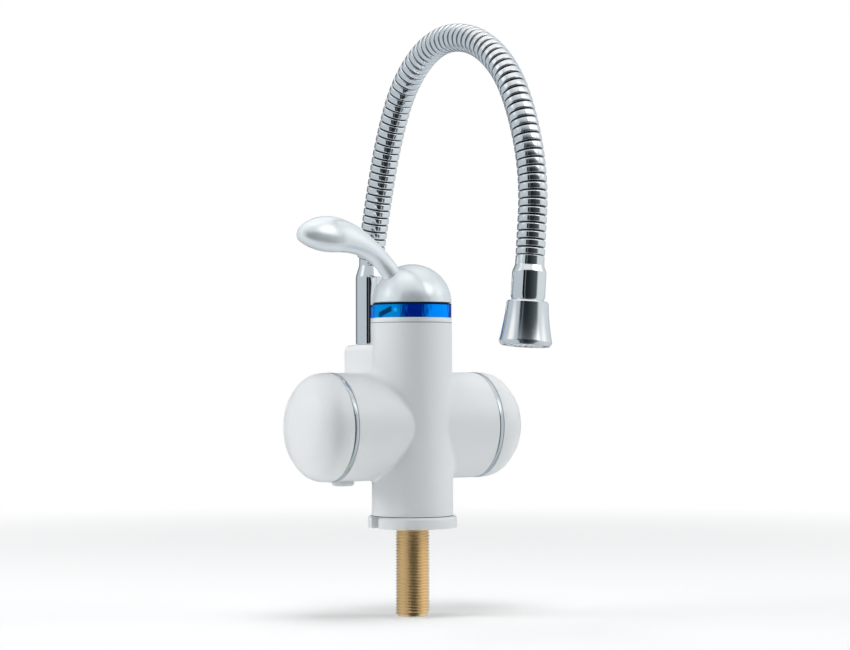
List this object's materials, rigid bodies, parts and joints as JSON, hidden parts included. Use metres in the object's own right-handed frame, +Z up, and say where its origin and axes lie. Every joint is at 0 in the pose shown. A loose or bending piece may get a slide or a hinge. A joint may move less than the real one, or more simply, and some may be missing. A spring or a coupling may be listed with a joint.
{
  "type": "electric instant water heater tap",
  "caption": "White upright tap with a cross barrel heater, blue light ring, chrome lever and a chrome gooseneck spout with a bell spray head.",
  "frame": {"origin": "on the column's axis, at the underside of the base ring, where it rests on the counter", "axes": "+Z up; +X along the cross barrel, towards the user's right; -Y faces the user; the spout's swivel axis is behind the column at +Y"},
  "size_m": [0.156, 0.1973, 0.3569],
  "materials": {
    "white_plastic": "gloss",
    "chrome": "polished",
    "satin_silver": "satin",
    "satin_chrome": "satin",
    "blue_light": "gloss, translucent",
    "brass": "machined",
    "stainless": "brushed",
    "rubber_black": "matt",
    "silicone_red": "matt",
    "ceramic": "ground",
    "grey_plastic": "satin",
    "dark_plastic": "satin",
    "board_green": "gloss",
    "steel": "plain",
    "copper": "drawn",
    "spray_white": "satin"
  },
  "bodies": {
    "base": {"housing": "white_plastic", "base_ring": "white_plastic", "base_seal": "rubber_black", "base_screws": "steel", "inlet_shank": "brass", "valve_body": "brass", "cartridge_gasket": "rubber_black", "fixed_disc": "ceramic", "cartridge_body": "grey_plastic", "cartridge_nut": "brass", "heater_chamber": "stainless", "heater_cover": "stainless", "heater_seal": "silicone_red", "heating_element": "stainless", "thermal_cutout": "dark_plastic", "outlet_pipe": "copper", "spout_socket": "brass", "flow_switch_body": "grey_plastic", "flow_switch_cap": "grey_plastic", "diaphragm": "rubber_black", "microswitch": "dark_plastic", "circuit_board": "board_green", "relay": "dark_plastic", "capacitor": "dark_plastic", "terminal_block": "spray_white", "left_trim_ring": "chrome", "right_trim_ring": "chrome", "left_cap": "white_plastic", "right_cap": "white_plastic", "drain_plug": "spray_white", "collar_ring": "satin_silver", "light_ring": "blue_light", "light_board": "board_green", "glide_ring": "dark_plastic"},
    "lever": {"handle": "satin_chrome", "spindle": "brass", "moving_disc": "ceramic", "grub_screw": "steel"},
    "plunger": {"flow_plunger": "spray_white"},
    "spout": {"riser": "chrome", "riser_seals": "rubber_black", "riser_clip": "dark_plastic", "neck_1": "chrome"},
    "bend_2": {"neck_2": "chrome"},
    "bend_3": {"neck_3": "chrome"},
    "bend_4": {"neck_4": "chrome"},
    "bend_5": {"neck_5": "chrome"},
    "bend_6": {"neck_6": "chrome"},
    "bend_7": {"neck_7": "chrome"},
    "bend_8": {"neck_8": "chrome", "hose_cuff": "chrome", "nozzle_bell": "chrome", "spray_plate": "spray_white", "flow_straightener": "spray_white"}
  },
  "joints": [
    {"name": "lever_turn", "type": "hinge", "parent": "base", "child": "lever", "pos_m": [0, 0, 0.14], "axis": [0, 0, 1], "range_deg": [0, 180]},
    {"name": "plunger_slide", "type": "slide", "parent": "base", "child": "plunger", "axis": [1, 0, 0], "range_m": [0, 0.0015], "stiffness_N_per_m": 150},
    {"name": "spout_swivel", "type": "hinge", "parent": "base", "child": "spout", "pos_m": [0, 0.0492, 0.12], "axis": [0, 0, 1], "continuous": true},
    {"name": "neck_bend_1", "type": "hinge", "parent": "spout", "child": "bend_2", "pos_m": [0.00082, 0.03353, 0.2239], "axis": [0.9986, 0.0523, 0], "range_deg": [-5, 3]},
    {"name": "neck_bend_2", "type": "hinge", "parent": "bend_2", "child": "bend_3", "pos_m": [0.00156, 0.01933, 0.25805], "axis": [0.9986, 0.0523, 0], "range_deg": [-5, 3]},
    {"name": "neck_bend_3", "type": "hinge", "parent": "bend_3", "child": "bend_4", "pos_m": [0.00285, -0.00512, 0.28534], "axis": [0.9986, 0.0523, 0], "range_deg": [-5, 3]},
    {"name": "neck_bend_4", "type": "hinge", "parent": "bend_4", "child": "bend_5", "pos_m": [0.00469, -0.04021, 0.29472], "axis": [0.9986, 0.0523, 0], "range_deg": [-5, 3]},
    {"name": "neck_bend_5", "type": "hinge", "parent": "bend_5", "child": "bend_6", "pos_m": [0.00649, -0.0747, 0.28259], "axis": [0.9986, 0.0523, 0], "range_deg": [-5, 3]},
    {"name": "neck_bend_6", "type": "hinge", "parent": "bend_6", "child": "bend_7", "pos_m": [0.00777, -0.09899, 0.25514], "axis": [0.9986, 0.0523, 0], "range_deg": [-5, 3]},
    {"name": "neck_bend_7", "type": "hinge", "parent": "bend_7", "child": "bend_8", "pos_m": [0.00886, -0.11131, 0.22035], "axis": [0.9986, 0.0523, 0], "range_deg": [-5, 3]}
  ]
}
